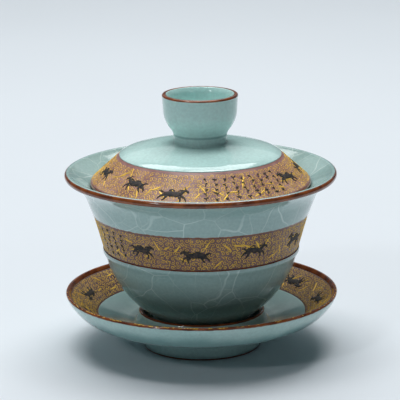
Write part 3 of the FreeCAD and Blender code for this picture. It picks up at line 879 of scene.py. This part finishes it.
# rows of places along a cone: rows stand gap apart, and each row has as many as fit
# round it at that spacing, shifted by half a place from row to row and then jittered
def rowsOf(cone, gap, jitter, draw):
    inset = pattern["margin"] + pattern["curlRadius"] * 0.9
    usable = cone["length"] - 2 * inset
    rows = int(usable / (gap * 0.93)) + 1
    places = []
    for row in range(rows):
        v = inset + usable * row / max(rows - 1, 1)
        radius = cone["start"][0] + v * cone["along"][0]
        count = int(wholeTurn * radius / gap)
        angle = (np.arange(count) + 0.5 * (row % 2)) * wholeTurn / count
        places.append(np.stack([angle, np.full(count, v)], -1))
    places = np.concatenate(places)
    radius = cone["start"][0] + places[:, 1] * cone["along"][0]
    shift = draw.uniform(-jitter, jitter, places.shape)
    return places + shift / np.stack([radius, np.ones(len(places))], -1)


# turns, and for half of them mirrors, a set of centre lines about their own places
def spun(lines, draw, low=0.0, high=wholeTurn):
    angle = draw.uniform(low, high, len(lines))
    flip = draw.choice([-1.0, 1.0], len(lines))
    x, y = lines[..., 0] * flip[:, None], lines[..., 1]
    cos, sin = np.cos(angle)[:, None], np.sin(angle)[:, None]
    return np.stack([x * cos - y * sin, x * sin + y * cos], -1)


# scroll curls: each is a spiral whose radius shrinks evenly as it winds in, on a short
# tail that leads off towards the next one
def goldScrolls(name, cone, seed):
    draw = np.random.default_rng(seed)
    places = rowsOf(cone, pattern["curlCell"], 0.22 * mm, draw)
    count = len(places)
    share = np.linspace(0, 1, 14)
    wind = share[None, :] * wholeTurn * pattern["curlTurns"] * draw.uniform(0.85, 1.12, (count, 1))
    out = pattern["curlRadius"] * draw.uniform(0.86, 1.1, (count, 1)) * (1 - 0.80 * share[None, :] ** 0.9)
    out = out + 0.35 * mm * np.maximum(0, 0.16 - share[None, :]) / 0.16
    lines = np.stack([out * np.cos(wind), out * np.sin(wind)], -1)
    lines = spun(lines, draw)
    swell = np.sin(math.pi * np.clip(share * 0.9 + 0.08, 0, 1)) ** 0.6
    widths = 0.5 * pattern["curlWidth"] * (0.35 + 0.75 * swell) * draw.uniform(0.8, 1.2, (count, 1))
    return strokes(name, cone, places, lines, widths, pattern["goldLift"], ridge, gold)


# seeds between the curls: short commas, thick at one end
def goldSeeds(name, cone, seed):
    draw = np.random.default_rng(seed)
    places = rowsOf(cone, pattern["curlCell"], 0.3 * mm, draw)
    places[:, 0] += 0.5 * pattern["curlCell"] / cone["start"][0]
    places[:, 1] += 0.5 * pattern["curlCell"]
    places = places[places[:, 1] < cone["length"] - 0.8 * mm]
    count = len(places)
    share = np.linspace(-1, 1, 5)
    length = draw.uniform(0.35, 0.62, (count, 1)) * mm
    lines = np.stack([share * length, 0.25 * (1 - share ** 2) * length], -1)
    lines = spun(lines, draw)
    widths = np.array([0.03, 0.12, 0.17, 0.16, 0.07]) * mm * draw.uniform(0.8, 1.25, (count, 1))
    return strokes(name, cone, places, lines, widths, pattern["goldLift"], ridge, gold)


# gold blades: bent strokes that lie across the scrolls, drawn out to a point
def goldBlades(name, cone, seed):
    draw = np.random.default_rng(seed)
    number = pattern["blades"]
    angle = (np.arange(number) + draw.uniform(-0.32, 0.32, number)) * wholeTurn / number
    v = cone["length"] * draw.uniform(0.18, 0.82, number)
    share = np.linspace(-1, 1, 9)
    length = draw.uniform(1.7, 3.1, (number, 1)) * mm
    lines = np.stack([share * length, draw.uniform(-0.16, 0.16, (number, 1)) * (1 - share ** 2) * length], -1)
    lines = spun(lines, draw, -1.2, 1.2)
    shape = np.array([0.12, 0.5, 0.8, 0.95, 1.0, 0.95, 0.8, 0.45, 0.1])
    widths = shape * draw.uniform(0.26, 0.42, (number, 1)) * mm
    places = np.stack([angle, v], -1)
    return strokes(name, cone, places, lines, widths, 1.25 * pattern["goldLift"], brushed, gold)


# one leaping animal in brush strokes: control points (x forwards, y up) and half-widths
# in millimetres, each stroke a curve through its points
animal = {
    "body": ([(-3.5, 0.3), (-1.6, 0.9), (0.8, 0.7), (2.9, 0.9)], [0.95, 1.5, 1.4, 1.05]),
    "neck": ([(2.3, 1.0), (3.5, 2.1), (4.2, 2.8)], [1.0, 0.75, 0.5]),
    "head": ([(3.9, 2.8), (4.8, 2.5), (5.5, 1.9)], [0.55, 0.6, 0.3]),
    "ear": ([(4.0, 3.0), (3.7, 3.6), (3.2, 3.9)], [0.3, 0.22, 0.08]),
    "mane": ([(3.4, 2.9), (2.4, 2.5), (1.4, 2.3)], [0.35, 0.4, 0.15]),
    "foreLeg": ([(2.7, 0.3), (4.3, -0.5), (5.0, -1.9)], [0.75, 0.42, 0.22]),
    "otherForeLeg": ([(2.2, 0.0), (3.0, -1.3), (2.6, -2.5)], [0.7, 0.4, 0.22]),
    "hindLeg": ([(-3.0, 0.1), (-4.4, -0.8), (-5.0, -2.1)], [0.95, 0.45, 0.22]),
    "otherHindLeg": ([(-2.4, -0.2), (-2.5, -1.5), (-3.4, -2.5)], [0.85, 0.42, 0.2]),
    "tail": ([(-3.8, 0.8), (-4.9, 1.6), (-5.6, 1.3)], [0.42, 0.4, 0.15]),
    "saddleTuft": ([(-2.2, 2.1), (-0.9, 2.5), (0.3, 2.2)], [0.2, 0.34, 0.15]),
}


# the animals of one band, at (degrees from the front, share of the band's width) places;
# every second one runs the other way, and each is drawn a little differently
def animals(name, cone, spots, seed):
    draw = np.random.default_rng(seed)
    size = pattern["animalSize"]
    lines, widths, places = [], [], []
    for order, (degrees, share) in enumerate(spots):
        facing = -1.0 if order % 2 else 1.0
        stretch = draw.uniform(0.92, 1.08, 2) * size
        tilt = draw.uniform(-0.10, 0.10)
        for points, halves in animal.values():
            bent = np.array(points) + draw.normal(0, pattern["stray"], (len(points), 2))
            line = smoothLine(bent * mm, 9) * stretch
            cos, sin = math.cos(tilt), math.sin(tilt)
            line = line @ np.array([[cos, sin], [-sin, cos]])
            lines.append(line * (facing, 1) - np.array([0, 0.45 * mm]))
            half = np.interp(np.linspace(0, 1, 9), np.linspace(0, 1, len(halves)), halves)
            widths.append(half * size * mm * draw.uniform(0.84, 1.12, 9))
            places.append((math.radians(degrees - 90), share * cone["length"]))
    places, lines, widths = np.array(places), np.array(lines), np.array(widths)
    return strokes(name, cone, places, lines, widths, pattern["inkLift"], brushed, ink)


# columns of leaf dabs: each dab is a short bent stalk with a leaf or two on it, leaning
# one way or the other
def sprigs(name, cone, columns, seed, rows=5):
    draw = np.random.default_rng(seed)
    lines, widths, places = [], [], []
    share = np.linspace(0, 1, 7)
    leaf = np.array([0.08, 0.23, 0.34, 0.38, 0.31, 0.19, 0.05]) * mm
    usable = cone["length"] - 3.4 * mm
    for degrees in columns:
        for row in range(rows):
            v = 1.7 * mm + usable * (row + draw.uniform(0.35, 0.65)) / rows
            angle = math.radians(degrees - 90) + draw.uniform(-0.15, 0.15) * mm / cone["start"][0]
            lean = draw.uniform(-0.5, 0.5)
            length = draw.uniform(0.85, 1.15) * mm
            lines.append(np.stack([lean * length * (share - 0.5), 1.5 * length * (share - 0.5)], -1))
            widths.append(np.full(7, 0.16 * mm))
            places.append((angle, v))
            for hand in (-1, 1)[:draw.integers(1, 3)]:
                side = hand * draw.choice([-1, 1])
                reach, rise = draw.uniform(0.75, 1.1) * mm, draw.uniform(0.2, 0.7) * mm
                height = draw.uniform(-0.4, 0.35) * mm
                lines.append(np.stack([side * reach * share, height + rise * np.sin(1.6 * share)], -1))
                widths.append(leaf * draw.uniform(0.85, 1.15))
                places.append((angle, v))
    places, lines, widths = np.array(places), np.array(lines), np.array(widths)
    return strokes(name, cone, places, lines, widths, pattern["inkLift"], brushed, ink)


# each band: its face, how deep its back is buried, how far it is sunk and how much of it is
# left bare at its upper edge; animals stand at (degrees from the front, share of the width)
# and sprigs in columns at degrees from the front
bands = {
    "saucer": {
        "node": "saucer_band", "face": faceOf("saucer_band", 0, 1)[::-1],
        "depth": 0.5 * mm, "sink": 0.0, "bare": 0.0,
        "animals": [(-104 + 32.7 * k, 0.5) for k in range(11)], "sprigs": [],
    },
    "bowl": {
        "node": "bowl_band", "face": faceOf("bowl_band", 1, 0),
        "depth": 0.5 * mm, "sink": 0.0, "bare": 0.0,
        "animals": [(-34, .5), (-3, .45), (30, .5), (63, .5), (95, .5), (127, .5), (160, .5), (192, .5),
                    (224, .5), (256, .5)],
        "sprigs": [-66.5, -60.3, -54.0, -48.3],
    },
    "lid": {
        "node": "lid_band", "face": faceOf("lid_band", 1, 0),
        "depth": 0.36 * mm, "sink": 0.12 * mm, "bare": 0.8 * mm,
        "animals": [(-77, .5), (-41.5, .5), (-15.4, .33), (62, .5), (90, .5), (122, .5), (154, .5), (186, .5),
                    (218, .5), (250, .5)],
        "sprigs": [3 + 6 * k for k in range(9)],
    },
}
for order, (body, band) in enumerate(bands.items()):
    record(bandRing(body, band["face"], band["depth"], band["sink"]), body, "patterned_band", band["node"])
    cone = coneOf(*band["face"])
    cone["start"] = cone["start"] + np.array([-cone["along"][1], cone["along"][0]]) * band["sink"]
    cone["length"] -= band["bare"]
    seed = 100 + 10 * order
    record(goldScrolls(body + "GoldScrolls", cone, seed), body, "patterned_band")
    record(goldSeeds(body + "GoldSeeds", cone, seed + 1), body, "patterned_band")
    record(goldBlades(body + "GoldBlades", cone, seed + 2), body, "patterned_band")
    record(animals(body + "BrushedAnimals", cone, band["animals"], seed + 3), body, "patterned_band")
    if band["sprigs"]:
        record(sprigs(body + "BrushedSprigs", cone, band["sprigs"], seed + 4), body, "patterned_band")

rimSeeds = {
    "onRoll": (30, 88),         # degrees of the lip's round end between which the seeds lie
    "dense": (-66, 8, 64),      # degrees from the front, and how many
    "sparse": (8, 294, 70),
    "lift": 0.10 * mm,
    "halfWidth": 0.17 * mm,
}


# a broken line of gold seeds along the crest of the saucer's lip, thick near the front
def saucerRimGold():
    draw = np.random.default_rng(141)
    low, high = rollLine("saucer_lip", saucer["lipRoll"], *rimSeeds["onRoll"], 2)
    cone = coneOf(low, high)
    degrees = np.concatenate([draw.uniform(*rimSeeds[part]) for part in ("dense", "sparse")])
    count = len(degrees)
    places = np.stack([np.radians(degrees - 90), cone["length"] * draw.uniform(0.25, 0.75, count)], -1)
    share = np.linspace(-1, 1, 6)
    length = draw.uniform(0.25, 0.75, (count, 1)) * mm
    lines = np.stack([share * length, draw.uniform(-0.3, 0.3, (count, 1)) * share * length], -1)
    shape = np.array([0.3, 0.8, 1.0, 1.0, 0.7, 0.2])
    widths = shape * rimSeeds["halfWidth"] * draw.uniform(0.7, 1.2, (count, 1))
    return strokes("saucerRimGold", cone, places, lines, widths, rimSeeds["lift"], brushed, gold)


record(saucerRimGold(), "saucer", "brown_rim_glaze")
print("bands painted")

studio = {
    "floorFront": -3.0, "floorBack": 1.9, "sweepRadius": 1.2, "wallTop": 3.4, "halfWidth": 3.2,
    "floorTones": ((0.70, 0.745, 0.79, 1), (0.72, 0.765, 0.81, 1)),
    "sky": (0.66, 0.75, 0.86, 1), "skyStrength": 0.05,
}


# the floor: a flat sheet that curves up into a back wall through a quarter circle
def floorSweep():
    material, tree, shader = newMaterial("paleFloor", {
        "IOR": 1.4, "Specular IOR Level": 0.3, "Roughness": 0.55})
    where = place(tree)
    cloud = span(tree, noise(tree, where, 3.0, 2.0), 0.3, 0.7)
    dress(tree, shader, {"Base Color": mixColour(tree, cloud, *studio["floorTones"]),
                         "Normal": bump(tree, noise(tree, where, 700.0, 2.0), 0.05 * mm, 0.15)})
    turn = np.linspace(0, math.pi / 2, 25)
    back, radius = studio["floorBack"], studio["sweepRadius"]
    flat = np.stack([np.linspace(studio["floorFront"], back, 12), np.zeros(12)], -1)
    bend = np.stack([back + radius * np.sin(turn), radius - radius * np.cos(turn)], -1)
    profile = np.concatenate([flat, bend[1:], [[back + radius, studio["wallTop"]]]])
    across = np.linspace(-studio["halfWidth"], studio["halfWidth"], 9)
    count = len(profile)
    points = np.stack(np.broadcast_arrays(across[:, None], profile[:, 0], profile[:, 1]), -1)
    i, j = np.meshgrid(np.arange(8), np.arange(count - 1), indexing="ij")
    corner = (i * count + j).ravel()
    quads = np.stack([corner, corner + count, corner + count + 1, corner + 1], -1)
    return meshObject("studioFloor", points, quads.tolist(), material)


floorSweep()


# a rectangular lamp at a place, aimed at the object
def lamp(name, at, size, power, colour, aim=(0, 0, 0.05)):
    light = bpy.data.lights.new(name, "AREA")
    light.shape = "RECTANGLE"
    light.size, light.size_y = size
    light.energy = power
    light.color = colour
    holder = bpy.data.objects.new(name, light)
    holder.location = at
    holder.rotation_euler = (Vector(aim) - Vector(at)).to_track_quat("-Z", "Y").to_euler()
    bpy.context.scene.collection.objects.link(holder)


# a place by compass direction from the front (0 is the camera's side, 90 the right),
# elevation in degrees and distance
def around(direction, elevation, distance):
    turn, lift = math.radians(direction - 90), math.radians(elevation)
    level = distance * math.cos(lift)
    return level * math.cos(turn), level * math.sin(turn), distance * math.sin(lift)


# name: place, (width, height), power, colour
lamps = {
    "overheadStrip": ((-0.05, 0.20, 1.5), (1.3, 0.4), 15.0, (1, 1, 1)),
    "overheadFront": ((-0.08, -0.21, 1.5), (0.5, 0.26), 2.2, (1, 1, 1)),
    "overBackSoftbox": ((-0.05, 0.75, 1.3), (1.3, 0.6), 9.8, (0.97, 1, 1)),
    "backPanel": (around(180, 30, 1.9), (1.8, 0.7), 1.6, (0.95, 1, 1)),
    "frontLeft": (around(-41, 34, 1.7), (0.13, 0.20), 3.4, (0.93, 0.98, 1)),
    "frontRight": (around(33, 34, 1.7), (0.13, 0.20), 0.4, (0.93, 0.98, 1)),
}
for name, settings in lamps.items():
    lamp(name, *settings)

world = bpy.data.worlds.new("studioAir")
world.use_nodes = True
air = world.node_tree.nodes["Background"]
air.inputs["Color"].default_value = studio["sky"]
air.inputs["Strength"].default_value = studio["skyStrength"]
bpy.context.scene.world = world
bpy.context.scene.view_settings.view_transform = "Standard"

shot = {
    "elevation": 14.252, "distance": 0.89983, "targetHeight": 0.0578,
    "lens": 209.5, "shift": -0.0020, "roll": -0.477,
}


def aimCamera():
    data = bpy.data.cameras.new("shot")
    data.sensor_width = 36
    data.lens = shot["lens"]
    data.shift_x = shot["shift"]
    data.clip_start = 0.01
    camera = bpy.data.objects.new("shot", data)
    target = Vector((0, 0, shot["targetHeight"]))
    camera.location = target + Vector(around(0, shot["elevation"], shot["distance"]))
    facing = (target - camera.location).to_track_quat("-Z", "Y")
    camera.rotation_euler = (facing @ Quaternion((0, 0, 1), math.radians(shot["roll"]))).to_euler()
    bpy.context.scene.collection.objects.link(camera)
    bpy.context.scene.camera = camera


aimCamera()
print("studio set")
